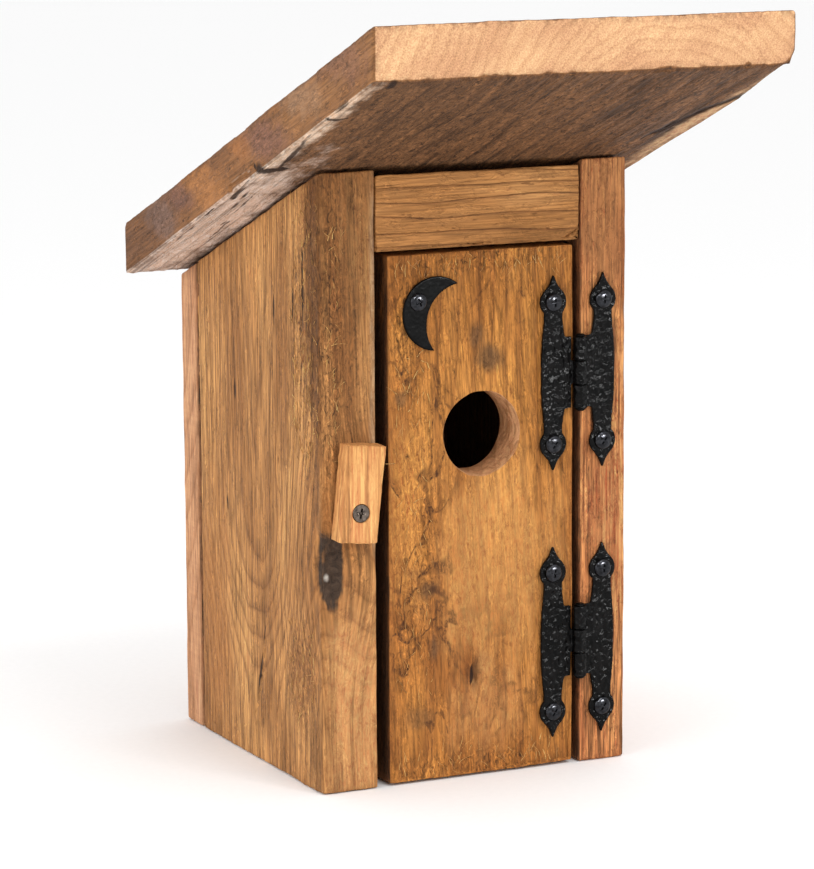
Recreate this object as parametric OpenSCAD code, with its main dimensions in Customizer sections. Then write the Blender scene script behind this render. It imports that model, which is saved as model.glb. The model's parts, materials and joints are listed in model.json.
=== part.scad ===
// Birdhouse of reclaimed boards: one lean-to roof board with a deep front overhang, two thick
// side boards, a full-height hinged door with the entry hole, and a wooden turn button.
// X runs left to right, Y from front to back and Z up. The origin is on the ground, under
// the middle of the roof board. All sizes are in millimetres.

/* [Body] */
// Outside width across both side boards
body_w = 154; // [140:1:180]
// Depth of the side boards, front edge to back edge
side_d = 139.7; // [110:0.1:180]
// Thickness of the left side board
left_t = 28; // [18:1:32]
// Thickness of the right side board
right_t = 24; // [18:1:32]
// Thickness of the back board
back_t = 19.05; // [12:0.05:25]
// Sideways offset of the body from the middle of the roof
body_x = 6; // [-10:1:20]

/* [Roof] */
// Width of the roof board
roof_w = 200; // [180:1:240]
// Height of the roof's top front edge above the ground
total_h = 352.5; // [320:0.5:400]
// Fall of the roof towards the back, in degrees
roof_slope = 21.6; // [12:0.1:30]
// Thickness of the roof board, measured plumb
roof_plumb_t = 25.3; // [20:0.1:32]
// How far the roof runs out in front of the body
overhang = 118; // [80:1:130]

/* [Door] */
// Thickness of the door board
door_t = 22; // [18:1:25]
// Gap between the door and the left side board
door_gap_left = 5.5; // [4:0.5:8]
// Gap between the door and the right side board
door_gap_right = 3; // [2:0.5:5]
// Gap between the door and the top rail
door_gap_top = 1.5; // [1:0.5:4]
// Height of the door's bottom edge above the ground
door_gap_bottom = 1; // [0.5:0.5:5]
// Diameter of the entry hole
hole_dia = 38; // [28:0.5:45]
// Height of the entry hole's centre
hole_z = 158.3; // [120:0.1:190]
// Distance of the entry hole's centre right of the body's middle
hole_x = 3.6; // [-10:0.1:10]

/* [Rail and floor] */
// Height of the top rail's lower edge
rail_z = 243; // [235:1:255]
// Height of the top rail's front face
rail_h = 35; // [20:1:36]
// Thickness of the top rail
rail_t = 20; // [15:1:25]
// Thickness of the floor board
floor_t = 19.05; // [12:0.05:25]
// Height of the floor board's underside
floor_z = 6; // [0:1:15]

/* [Turn button] */
// Length of the turn button
button_l = 45.4; // [40:0.1:60]
// Width of the turn button
button_w = 19.6; // [14:0.1:22]
// Thickness of the turn button
button_t = 10.5; // [6:0.5:14]
// Distance from its short end to its screw
button_short = 14.3; // [10:0.1:20]
// Height of its screw
button_z = 129.3; // [100:0.1:160]
// Distance of its screw in from the left side of the body
button_in = 15.2; // [12:0.1:20]
// Lean of the long end to the right of upright, when turned clear of the door
button_lean = 6; // [0:1:8]
// Gap between the button and the wood behind it
button_gap = 0.3; // [0.2:0.1:1]

/* [Hinges] */
// Height of the lower hinge's middle
lower_hinge_z = 58.6; // [50:0.1:80]
// Height of the upper hinge's middle
upper_hinge_z = 183.2; // [160:0.1:195]
// Length of a leaf, tip to tip
leaf_l = 90; // [80:1:110]
// Width of a leaf's strap at its necks
strap_w = 9.2; // [8:0.1:12]
// How far the strap's outer edge bows out between its necks
strap_bow_out = 1.5; // [0:0.1:2]
// How far the strap's inner edge bows towards the pin
strap_bow_in = 3; // [0:0.1:4]
// Width of a leaf's spearhead
spear_w = 13.4; // [11:0.1:15]
// Distance between a leaf's two screws
leaf_screw_gap = 65; // [55:1:75]
// Distance from the pin to the middle of a strap
leaf_x = 12.7; // [11:0.1:15]
// Thickness of a leaf
leaf_t = 2; // [1.5:0.1:3]
// Length of the barrel
barrel_l = 33; // [25:1:40]
// Radius of the barrel
barrel_r = 3.2; // [2.8:0.1:3.3]
// Radius of the hinge pin
pin_r = 1.5; // [1:0.1:2]

/* [Moon plate] */
// Radius of the moon's outer edge
moon_r = 16.7; // [12:0.1:20]
// Radius of the moon's inner edge
moon_bite_r = 18.3; // [12:0.1:24]
// Thickness of the moon plate
moon_t = 1.5; // [1:0.1:3]

/* [Hidden] */
$fn = 64;

body_d = side_d + back_t;
front_y = overhang - (overhang + body_d) / 2;
left_x = -body_w / 2;
right_x = body_w / 2;
bay_left = left_x + left_t;
bay_right = right_x - right_t;
roof_front_z = total_h - roof_plumb_t;
door_left = bay_left + door_gap_left;
door_right = bay_right - door_gap_right;
door_top = rail_z - door_gap_top;
pin_x = (door_right + bay_right) / 2;
pin_y = -barrel_r - 0.3;
button_x = left_x + button_in;
bay_screw_left = left_x + left_t / 2;
bay_screw_right = right_x - right_t / 2;

// How close a screw's shank sits in its hole, measured on the radius
hole_gap = 0.05;
// The same for the screw that the turn button turns on
turning_gap = 0.08;
// How far a knuckle stands from its neighbour
knuckle_gap = 0.4;
// How far a leaf's strap plate stays clear of the other leaf's knuckles
tab_x = barrel_r + 0.5;
// Length of a spearhead beyond its screw
spear_l = (leaf_l - leaf_screw_gap) / 2;

// A strap's bow as [height above its middle, share of the bow]
bow_steps = [[25, 0], [20, 0.2], [14, 0.6], [8, 0.87], [0, 1], [-8, 0.87], [-14, 0.6], [-20, 0.2],
    [-25, 0]];

// How deep a flat screw's head sits below the wood
sunk = 0.4;
// Reach and depth of a cross recess in a flat head and in a round one
flat_recess = [2.4, 1.6];
round_recess = [1.7, 1];
recess_w = 1.1;

// Shank radius, length, head radius and head height of each kind of fastener
roof_screw = [2.1, 48, 4.1, 2.6];
board_screw = [2.1, 44, 4.1, 2.6];
button_screw = [2.1, 32, 4.0, 2.6];
leaf_screw = [1.7, 16, 4.2, 1.6];
nail = [1.1, 30, 2.2, 0.8];

// Screw places: the roof's are [x, y] under the roof, the back's and floor's are [x, z]
roof_screw_places = [
    for (x = [bay_screw_left, bay_screw_right]) for (y = [28, 108]) [x, y]
];
back_screw_places = [
    for (x = [bay_screw_left, bay_screw_right]) for (z = [30, 105, 180]) [x, z]
];
floor_screw_places = [for (x = [-25, 29]) [x, floor_z + floor_t / 2]];
// Nail places: [side of the rail, height], one above the other at each end
rail_nail_places = [for (side = [-1, 1]) for (z = [250, 260]) [side, z]];
rail_nail_angle = 30;
rail_nail_in = 13;

moon_centre = [-19.7, 214.4];
moon_bite_centre = [-6.6, 209.2];
moon_screw_at = [-28.9, 220.2];

function roof_under(y) = roof_front_z - (y + overhang) * tan(roof_slope);

module in_body() translate([body_x, front_y, 0]) children();

// A board that stands in the YZ plane, from x along +X for a thickness
module side_profile(x, thickness, points)
    translate([x, 0, 0]) rotate([90, 0, 90]) linear_extrude(thickness) polygon(points);

// Flat head screw, head up at the origin and shank down
module flat_screw(size, extra = 0) {
    shank = size[0] + extra;
    head = size[2] + extra;
    tip = 2 * size[0];
    rotate_extrude() polygon([
        [0, 0], [head, 0], [shank, -size[3]], [shank, tip - size[1]], [0, -size[1] - extra]
    ]);
}

// Round head screw: the head stands up from the origin and the shank goes down
module round_screw(size) {
    steps = 6;
    dome = [
        for (i = [0:steps])
            [size[2] * cos(90 * i / steps), size[3] * sin(90 * i / steps)]
    ];
    rotate_extrude() polygon(concat(
        [[0, -size[1]], [size[0], 2 * size[0] - size[1]], [size[0], 0]], dome
    ));
}

// Cross recess, cut down from the top of a head at the origin
module cross_recess(size)
    for (turn = [0, 90]) rotate([0, 0, turn])
        translate([-size[0], -recess_w / 2, -size[1]])
            cube([2 * size[0], recess_w, size[1] + 1]);

// Countersunk hole for a flat head screw, open above its head
module flat_hole(size, gap = hole_gap) {
    flat_screw(size, gap);
    translate([0, 0, -0.01]) cylinder(r = size[2] + gap, h = 2);
}

module shank_hole(size, depth)
    translate([0, 0, -depth]) cylinder(r = size[0] + hole_gap, h = depth + 1);

// Lays what points up so that it points out of the front
module facing_front() rotate([90, 0, 0]) children();
// Lays what points up so that it points out of the back
module facing_back() rotate([-90, 0, 0]) children();

module at_roof_screws()
    for (p = roof_screw_places)
        translate([p[0], p[1], roof_under(p[1])]) rotate([-roof_slope, 0, 0])
            translate([0, 0, roof_plumb_t * cos(roof_slope) - sunk]) children();

module at_back_screws()
    for (p = back_screw_places)
        translate([p[0], body_d - sunk, p[1]]) facing_back() children();

module at_floor_screws()
    for (p = floor_screw_places)
        translate([p[0], body_d - sunk, p[1]]) facing_back() children();

module at_rail_nails()
    for (p = rail_nail_places) {
        end = p[0] < 0 ? bay_left : bay_right;
        translate([end - p[0] * rail_nail_in, rail_t, p[1]])
            rotate([-90, 0, p[0] * (90 - rail_nail_angle)]) children();
    }

module at_leaf_screws(side, middle_z)
    for (end = [-1, 1])
        translate([pin_x + side * leaf_x, -leaf_t, middle_z + end * leaf_screw_gap / 2])
            facing_front() children();

module at_moon_screw()
    translate([moon_screw_at[0], -moon_t, moon_screw_at[1]]) facing_front() children();

module at_button_screw()
    translate([button_x, -button_gap - button_t + sunk, button_z]) facing_front() children();

module side_board(x, thickness, side) {
    difference() {
        side_profile(x, thickness, [
            [0, 0], [side_d, 0], [side_d, roof_under(side_d)], [0, roof_under(0)]
        ]);
        at_roof_screws() flat_hole(roof_screw);
        at_back_screws() flat_hole(board_screw);
        at_rail_nails() flat_screw(nail, hole_gap);
        if (side < 0) at_button_screw() shank_hole(button_screw, button_screw[1]);
        if (side > 0)
            for (z = [lower_hinge_z, upper_hinge_z])
                at_leaf_screws(1, z) shank_hole(leaf_screw, leaf_screw[1]);
    }
}

module left_side_board() color("peru") in_body() side_board(left_x, left_t, -1);

module right_side_board() color("peru") in_body() side_board(bay_right, right_t, 1);

module back_board() color("burlywood") in_body() difference() {
    side_profile(left_x, body_w, [
        [side_d, 0], [body_d, 0], [body_d, roof_under(body_d)], [side_d, roof_under(side_d)]
    ]);
    at_back_screws() flat_hole(board_screw);
    at_floor_screws() flat_hole(board_screw);
}

module floor_board() color("tan") in_body() difference() {
    front = door_t + 2;
    translate([bay_left, front, floor_z])
        cube([bay_right - bay_left, side_d - front, floor_t]);
    at_floor_screws() flat_hole(board_screw);
}

module top_rail() color("goldenrod") in_body() difference() {
    fall = rail_t * tan(roof_slope);
    side_profile(bay_left, bay_right - bay_left, [
        [0, rail_z], [rail_t, rail_z], [rail_t, rail_z + rail_h - fall], [0, rail_z + rail_h]
    ]);
    at_rail_nails() flat_screw(nail, hole_gap);
}

module roof_board() color("sienna") difference() {
    translate([-body_x, 0, 0]) in_body() side_profile(-roof_w / 2, roof_w, [
        [-overhang, roof_under(-overhang)], [body_d, roof_under(body_d)],
        [body_d, roof_under(body_d) + roof_plumb_t], [-overhang, total_h]
    ]);
    in_body() at_roof_screws() flat_hole(roof_screw);
}

module door_board() color("orange") in_body() difference() {
    translate([door_left, 0, door_gap_bottom])
        cube([door_right - door_left, door_t, door_top - door_gap_bottom]);
    translate([hole_x, door_t + 1, hole_z]) facing_front() cylinder(d = hole_dia, h = door_t + 2);
    for (z = [lower_hinge_z, upper_hinge_z])
        at_leaf_screws(-1, z) shank_hole(leaf_screw, leaf_screw[1]);
    at_moon_screw() shank_hole(leaf_screw, leaf_screw[1]);
}

module turn_button() color("sandybrown") in_body() at_button_screw()
    rotate([0, 0, 90 - button_lean]) difference() {
        translate([-button_short, -button_w / 2, sunk - button_t])
            cube([button_l, button_w, button_t]);
        flat_hole(button_screw, turning_gap);
    }

module turn_button_screw() color("gray") in_body() at_button_screw() recessed_screw(button_screw);

module moon_plate() color("black") in_body() difference() {
    facing_front() linear_extrude(moon_t) difference() {
        translate(moon_centre) circle(r = moon_r, $fn = 96);
        translate(moon_bite_centre) circle(r = moon_bite_r, $fn = 96);
    }
    at_moon_screw() shank_hole(leaf_screw, leaf_screw[1]);
}

module moon_screw() color("black") in_body() at_moon_screw() leaf_screw_solid();

module leaf_screw_solid() difference() {
    round_screw(leaf_screw);
    translate([0, 0, leaf_screw[3]]) cross_recess(round_recess);
}

// Outline of one leaf, the strap's middle on the X axis's zero. side is -1 on the door
module leaf_outline(side) {
    square([strap_w, leaf_screw_gap], center = true);
    for (edge = [[1, strap_bow_out], [-1, strap_bow_in]]) polygon([
        for (s = bow_steps) [side * edge[0] * (strap_w / 2 - 0.01 + edge[1] * s[1]), s[0]]
    ]);
    for (end = [-1, 1]) scale([1, end]) translate([0, leaf_screw_gap / 2]) {
        circle(d = spear_w);
        polygon([
            [-0.96 * spear_w / 2, 2], [-2.2, 8], [0, spear_l], [2.2, 8], [0.96 * spear_w / 2, 2]
        ]);
    }
}

module knuckle(low, high) translate([0, 0, low]) cylinder(r = barrel_r, h = high - low);

// One leaf about its pin. side is -1 on the door and 1 on the frame. spans are its knuckles
module hinge_leaf(side, middle_z, spans) in_body() difference() {
    translate([pin_x, 0, middle_z]) {
        translate([side * leaf_x, 0, 0]) facing_front() linear_extrude(leaf_t)
            leaf_outline(side);
        tab_w = leaf_x - tab_x;
        translate([side > 0 ? tab_x : -tab_x - tab_w, -leaf_t, -barrel_l / 2])
            cube([tab_w, leaf_t, barrel_l]);
        for (s = spans) {
            translate([0, pin_y, 0]) knuckle(s[0], s[1]);
            translate([side > 0 ? 0 : -tab_x, -leaf_t, s[0]])
                cube([tab_x, leaf_t - 0.3, s[1] - s[0]]);
        }
    }
    translate([pin_x, pin_y, middle_z])
        cylinder(r = pin_r + hole_gap, h = barrel_l + 2, center = true);
    at_leaf_screws(side, middle_z) shank_hole(leaf_screw, leaf_t + 1);
}

module door_leaf(z) {
    half = barrel_l / 6 - knuckle_gap / 2;
    hinge_leaf(-1, z, [[-half, half]]);
}

module frame_leaf(z) {
    inner = barrel_l / 6 + knuckle_gap / 2;
    hinge_leaf(1, z, [[-barrel_l / 2, -inner], [inner, barrel_l / 2]]);
}

module hinge_pin(z) in_body() translate([pin_x, pin_y, z]) {
    cylinder(r = pin_r, h = barrel_l + 1, center = true);
    for (end = [-1, 1]) scale([1, 1, end]) translate([0, 0, barrel_l / 2 + 0.1])
        cylinder(r1 = pin_r + 0.8, r2 = pin_r, h = 1);
}

module leaf_screws(side, z) in_body() at_leaf_screws(side, z) leaf_screw_solid();

module lower_hinge_door_leaf() color("black") door_leaf(lower_hinge_z);
module lower_hinge_frame_leaf() color("black") frame_leaf(lower_hinge_z);
module lower_hinge_pin() color("black") hinge_pin(lower_hinge_z);
module lower_hinge_door_screws() color("black") leaf_screws(-1, lower_hinge_z);
module lower_hinge_frame_screws() color("black") leaf_screws(1, lower_hinge_z);
module upper_hinge_door_leaf() color("black") door_leaf(upper_hinge_z);
module upper_hinge_frame_leaf() color("black") frame_leaf(upper_hinge_z);
module upper_hinge_pin() color("black") hinge_pin(upper_hinge_z);
module upper_hinge_door_screws() color("black") leaf_screws(-1, upper_hinge_z);
module upper_hinge_frame_screws() color("black") leaf_screws(1, upper_hinge_z);

module recessed_screw(size) difference() {
    flat_screw(size);
    cross_recess(flat_recess);
}

module roof_screws() color("silver") in_body() at_roof_screws() recessed_screw(roof_screw);
module back_screws() color("silver") in_body() at_back_screws() recessed_screw(board_screw);
module floor_screws() color("silver") in_body() at_floor_screws() recessed_screw(board_screw);
module rail_nails() color("silver") in_body() at_rail_nails() flat_screw(nail);

left_side_board();
right_side_board();
back_board();
floor_board();
top_rail();
roof_board();
door_board();
turn_button();
turn_button_screw();
moon_plate();
moon_screw();
lower_hinge_door_leaf();
lower_hinge_frame_leaf();
lower_hinge_pin();
lower_hinge_door_screws();
lower_hinge_frame_screws();
upper_hinge_door_leaf();
upper_hinge_frame_leaf();
upper_hinge_pin();
upper_hinge_door_screws();
upper_hinge_frame_screws();
roof_screws();
back_screws();
floor_screws();
rail_nails();
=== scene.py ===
"""The birdhouse's looks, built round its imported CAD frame.

Boards are dense meshes with worn edges, splits and knots, the ironwork is remeshed and hammered,
and every material is procedural. Shapes are worked out in millimetres in the CAD's own frame, and
at_body() turns a place measured on the birdhouse into that frame.
"""

import json
import math

import bpy
import numpy as np
from mathutils import Matrix, Vector


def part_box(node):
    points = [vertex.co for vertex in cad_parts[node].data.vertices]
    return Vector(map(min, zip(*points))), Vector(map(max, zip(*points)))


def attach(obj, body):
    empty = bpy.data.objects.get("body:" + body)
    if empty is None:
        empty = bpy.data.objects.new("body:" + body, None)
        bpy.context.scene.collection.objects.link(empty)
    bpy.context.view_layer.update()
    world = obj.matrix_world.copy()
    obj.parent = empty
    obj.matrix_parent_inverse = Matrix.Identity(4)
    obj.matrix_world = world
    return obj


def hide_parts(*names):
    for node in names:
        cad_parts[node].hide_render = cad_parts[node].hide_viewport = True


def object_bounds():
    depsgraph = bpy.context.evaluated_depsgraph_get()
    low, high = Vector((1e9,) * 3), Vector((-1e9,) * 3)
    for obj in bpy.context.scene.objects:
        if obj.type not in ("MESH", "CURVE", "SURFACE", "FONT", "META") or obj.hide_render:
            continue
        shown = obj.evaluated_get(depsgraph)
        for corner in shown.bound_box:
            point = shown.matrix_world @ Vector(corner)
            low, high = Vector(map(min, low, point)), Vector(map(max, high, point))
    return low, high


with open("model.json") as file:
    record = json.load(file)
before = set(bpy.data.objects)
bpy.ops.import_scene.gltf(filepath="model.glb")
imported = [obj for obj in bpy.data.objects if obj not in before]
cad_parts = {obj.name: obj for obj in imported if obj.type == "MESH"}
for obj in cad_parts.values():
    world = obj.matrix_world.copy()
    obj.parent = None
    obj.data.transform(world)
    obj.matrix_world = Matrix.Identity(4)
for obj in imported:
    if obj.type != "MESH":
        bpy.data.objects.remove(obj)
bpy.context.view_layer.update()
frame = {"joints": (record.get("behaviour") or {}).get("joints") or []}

MM = 0.001
JOINTS = {j["name"]: j for j in frame["joints"]}


def box_mm(node):
    """A CAD node's lowest and highest corners, in millimetres."""
    low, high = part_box(node)
    return np.array(low) / MM, np.array(high) / MM


LEFT_LOW, LEFT_HIGH = box_mm("left_side_board")
RIGHT_LOW, RIGHT_HIGH = box_mm("right_side_board")
BACK_LOW, BACK_HIGH = box_mm("back_board")
ROOF_LOW, ROOF_HIGH = box_mm("roof_board")
DOOR_LOW, DOOR_HIGH = box_mm("door_board")
RAIL_LOW, RAIL_HIGH = box_mm("top_rail")
FLOOR_LOW, FLOOR_HIGH = box_mm("floor_board")

FRONT_Y = LEFT_LOW[1]
BODY_MIDDLE_X = (LEFT_LOW[0] + RIGHT_HIGH[0]) / 2
BODY_DEEP = 158.75
# The side boards' tops give the roof's fall, and the roof's box then gives its plumb thickness
SLOPE = (LEFT_HIGH[2] - BACK_HIGH[2]) / (LEFT_HIGH[1] - LEFT_LOW[1])
SLOPE_ANGLE = math.atan(SLOPE)
ROOF_PLUMB = ROOF_HIGH[2] - ROOF_LOW[2] - SLOPE * (ROOF_HIGH[1] - ROOF_LOW[1])
HOLE_X, HOLE_Z, HOLE_RADIUS = 3.6, 158.3, 19.0


def roof_under(y):
    """Height of the roof's underside at y."""
    return ROOF_HIGH[2] - ROOF_PLUMB - SLOPE * (y - ROOF_LOW[1])


def at_body(x, y, z):
    """A point given from the middle of the body's front face, at ground level."""
    return np.array([BODY_MIDDLE_X + x, FRONT_Y + y, z])


# ---------------------------------------------------------------- camera and light


def make_camera():
    """A long lens a little above the birdhouse and to its left."""
    azimuth, elevation, roll = (math.radians(a) for a in (-25.767, 9.926, -0.304))
    distance, aim_right, aim_up = 1.76594, 0.003946, -0.023935
    back = Vector((
        math.sin(azimuth) * math.cos(elevation),
        -math.cos(azimuth) * math.cos(elevation),
        math.sin(elevation),
    ))
    right = Vector((0, 0, 1)).cross(back).normalized()
    up = back.cross(right)
    aim = Vector(at_body(0, 80, 170) * MM) + right * aim_right + up * aim_up
    tilted_right = right * math.cos(roll) + up * math.sin(roll)
    tilted_up = up * math.cos(roll) - right * math.sin(roll)
    data = bpy.data.cameras.new("camera")
    data.sensor_width = 36
    data.lens = 156.51
    data.clip_start, data.clip_end = 0.05, 20
    camera = bpy.data.objects.new("camera", data)
    bpy.context.scene.collection.objects.link(camera)
    turn = Matrix((tilted_right, tilted_up, back)).transposed().to_4x4()
    camera.matrix_world = Matrix.Translation(aim + back * distance) @ turn
    bpy.context.scene.camera = camera


IRONWORK = bpy.data.collections.new("ironwork")


def soft_box(name, place, size, power, receivers=None):
    """A square area light that looks at the birdhouse, and lights only receivers if given."""
    data = bpy.data.lights.new(name, "AREA")
    data.energy = power
    data.size = size
    light = bpy.data.objects.new(name, data)
    light.location = place
    light.rotation_mode = "QUATERNION"
    aim = Vector((0.0, 0.0, 0.17))
    light.rotation_quaternion = (aim - Vector(place)).to_track_quat("-Z", "Y")
    bpy.context.scene.collection.objects.link(light)
    if receivers:
        light.light_linking.receiver_collection = receivers


def make_studio():
    """Soft white light all round, five soft boxes and a pale floor."""
    world = bpy.data.worlds.new("studio")
    bpy.context.scene.world = world
    world.use_nodes = True
    background = world.node_tree.nodes["Background"]
    background.inputs["Color"].default_value = (1.0, 1.0, 1.0, 1.0)
    background.inputs["Strength"].default_value = 1.09
    soft_box("overhead", (0.15, -0.9, 1.3), 0.55, 7.5)
    soft_box("side_fill", (-1.3, -0.5, 0.55), 0.8, 5)
    soft_box("right_kicker", (0.5, -1.15, 0.5), 0.12, 1.2)
    soft_box("iron_glint_right", (0.45, -1.0, 0.42), 0.15, 12, IRONWORK)
    soft_box("iron_glint_left", (-0.3, -1.0, 0.75), 0.15, 8, IRONWORK)
    bpy.context.scene.view_settings.view_transform = "Standard"
    bpy.context.scene.view_settings.exposure = -0.1
    bpy.ops.mesh.primitive_plane_add(size=30)
    floor = bpy.context.object
    floor.name = "studio_floor"
    floor.data.materials.append(floor_material())


# ---------------------------------------------------------------- shader helpers


def tone(red, green, blue):
    """A colour seen on a screen, 0 to 255 a channel, as the linear RGBA that a shader takes."""
    def linear(c):
        c = c / 255
        return c / 12.92 if c <= 0.04045 else ((c + 0.055) / 1.055) ** 2.4

    return (linear(red), linear(green), linear(blue), 1.0)


class Tree:
    """One material's node tree, with a short call for each kind of node."""

    def __init__(self, name):
        self.material = bpy.data.materials.new(name)
        self.material.use_nodes = True
        self.tree = self.material.node_tree
        self.shader = self.tree.nodes["Principled BSDF"]
        coordinates = self.tree.nodes.new("ShaderNodeTexCoord")
        self.place = coordinates.outputs["Object"]
        self.normal = coordinates.outputs["Normal"]

    def feed(self, socket, value):
        if isinstance(value, bpy.types.NodeSocket):
            self.tree.links.new(value, socket)
        else:
            socket.default_value = value

    def node(self, kind, settings=(), inputs=()):
        made = self.tree.nodes.new(kind)
        for key, value in dict(settings).items():
            setattr(made, key, value)
        for key, value in dict(inputs).items():
            self.feed(made.inputs[key], value)
        return made

    def math(self, operation, *values, clamp=False):
        made = self.node("ShaderNodeMath", {"operation": operation, "use_clamp": clamp},
                         enumerate(values))
        return made.outputs[0]

    def times(self, a, b, clamp=False):
        return self.math("MULTIPLY", a, b, clamp=clamp)

    def scaled(self, value, by, plus):
        return self.math("MULTIPLY_ADD", value, by, plus)

    def vector(self, operation, *values, scale=None):
        inputs = dict(enumerate(values))
        if scale is not None:
            inputs["Scale"] = scale
        made = self.node("ShaderNodeVectorMath", {"operation": operation}, inputs)
        return made.outputs["Value" if operation in ("LENGTH", "DOT_PRODUCT") else "Vector"]

    def turned(self, vector, turn, kind="POINT"):
        return self.node("ShaderNodeMapping", {"vector_type": kind},
                         {"Vector": vector, "Rotation": turn}).outputs["Vector"]

    def part(self, vector, axis):
        return self.node("ShaderNodeSeparateXYZ", inputs={0: vector}).outputs[axis]

    def mix(self, share, a, b, blend="MIX"):
        made = self.node("ShaderNodeMix", {"data_type": "RGBA", "blend_type": blend},
                         {0: share, 6: a, 7: b})
        return made.outputs[2]

    def overlay(self, share, colour, value, stops):
        return self.mix(share, colour, self.ramp(value, stops), "OVERLAY")

    def ramp(self, value, stops):
        """Colours, or plain numbers, along a ramp: [(place, colour or number), ...]."""
        made = self.node("ShaderNodeValToRGB", inputs={0: value})
        marks = made.color_ramp.elements
        while len(marks) < len(stops):
            marks.new(0.5)
        for mark, (place, colour) in zip(marks, stops):
            mark.position = place
            mark.color = colour if isinstance(colour, tuple) else (colour, colour, colour, 1)
        return made.outputs["Color"]

    def step(self, value, low, high):
        """0 at low, 1 at high and smooth between. low may be the larger of the two."""
        rising = float(low < high)
        made = self.node("ShaderNodeMapRange", {"interpolation_type": "SMOOTHSTEP"},
                         {0: value, 1: min(low, high), 2: max(low, high),
                          3: 1.0 - rising, 4: rising})
        return made.outputs[0]

    def noise(self, place, stretch, detail=2.0, rough=0.5, warp=0.0, output=0):
        """Noise whose cells are 1/stretch metres long, with one stretch or one for each axis."""
        stretch = tuple(float(s) for s in np.broadcast_to(stretch, 3))
        made = self.node("ShaderNodeTexNoise", inputs={
            "Vector": self.vector("MULTIPLY", place, stretch), "Scale": 1.0,
            "Detail": detail, "Roughness": rough, "Distortion": warp})
        return made.outputs[output]

    def pushed(self, place, by, stretch, distance):
        """The place moved about by a slow noise of another place, by up to half a distance."""
        drift = self.vector("SUBTRACT", self.noise(by, stretch, output="Color"), (0.5,) * 3)
        return self.vector("ADD", place, self.vector("SCALE", drift, scale=distance * MM))

    def off(self, point, keep=None):
        """The way from a point of the body, in millimetres, to each place on the surface."""
        away = self.vector("SUBTRACT", self.place, tuple(at_body(*point) * MM))
        return self.vector("MULTIPLY", away, keep) if keep else away

    def reach(self, point, radii):
        """Distance from a point of the body as a share of three radii, in millimetres."""
        radii = tuple(np.array(radii) * MM)
        return self.vector("LENGTH", self.vector("DIVIDE", self.off(point), radii))

    def blob(self, centre, radii, torn, ragged=0.8, soft=0.42):
        """1 in the middle of a patch, 0 outside it, its edge torn by a noise from 0 to 1."""
        far = self.scaled(torn, ragged * 2, self.reach(centre, radii))
        edge = 0.78 + ragged
        return self.step(far, edge + soft, edge - soft)

    def toward(self, way):
        """1 on faces that face a way."""
        return self.step(self.vector("DOT_PRODUCT", self.normal, way), 0.3, 0.75)

    def near_line(self, place, start, end, width, thin_ends=(True, True)):
        """1 on a line between two points, 0 a width away, and thin at the ends that are said."""
        start, end, width = at_body(*start) * MM, at_body(*end) * MM, width * MM
        along = end - start
        from_start = self.vector("SUBTRACT", place, tuple(start))
        share = self.vector("DOT_PRODUCT", from_start, tuple(along / (along @ along)))
        share = self.times(share, 1.0, clamp=True)
        nearest = self.vector("SCALE", tuple(along), scale=share)
        far = self.vector("LENGTH", self.vector("SUBTRACT", from_start, nearest))
        taper = 1.0
        for thin, past in zip(thin_ends, (share, self.math("SUBTRACT", 1.0, share))):
            if thin:
                taper = self.times(self.times(past, 3.0, clamp=True), taper)
        taper = self.scaled(taper, 0.75 * width, 0.25 * width)
        return self.step(self.math("DIVIDE", far, taper), 1.0, 0.45)

    def bump(self, height, distance, strength):
        return self.node("ShaderNodeBump", inputs={
            "Height": height, "Distance": distance, "Strength": strength}).outputs["Normal"]

    def finish(self, **inputs):
        for key, value in inputs.items():
            self.feed(self.shader.inputs[key.replace("_", " ")], value)
        return self.material


def floor_material():
    """Matt white paper with a faint mottle."""
    t = Tree("studio_paper")
    shade = t.ramp(t.noise(t.place, 300), [(0.3, 0.93), (0.7, 0.95)])
    return t.finish(Base_Color=shade, Roughness=0.9)


# How the frame is turned to lay each board's grain along Z
GRAIN_UP = (0.0, 0.0, 0.0)
GRAIN_ACROSS = (0.0, math.radians(-90), 0.0)
GRAIN_DOWN_ROOF = (math.radians(90) + SLOPE_ANGLE, 0.0, 0.0)

# Dark colour painted along cracks and splits: partly the split wood's own dark, partly painted
# shade inside them
CRACK_SHADE_TONE, CONTOUR_TONE = tone(38, 20, 10), tone(74, 42, 20)
# A ramp that darkens and lightens what lies under it
SCRATCHED = [(0.36, 0.2), (0.5, 0.5), (0.64, 0.8)]


def end_grain(t, latewood, light, dark):
    """Sawn across: faint rings, saw scratches, a fine stipple and open pores."""
    slanted = t.turned(t.place, (0.0, math.radians(52), 0.0))
    colour = t.mix(t.times(latewood, 0.3), tone(*light), tone(*dark))
    colour = t.overlay(0.12, colour, t.noise(slanted, (30, 30, 520), 3.0, 0.65, 0.4), SCRATCHED)
    colour = t.overlay(0.42, colour, t.noise(t.place, 1500, 2.0, 0.7), SCRATCHED)
    cloud = t.noise(t.place, (40, 40, 60), 3.0, 0.55)
    colour = t.overlay(0.35, colour, cloud, [(0.35, 0.3), (0.65, 0.7)])
    pores = t.noise(t.place, 900, 3.0, 0.7)
    return t.mix(t.times(t.step(pores, 0.38, 0.3), 0.7), colour, tone(*dark))


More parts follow.
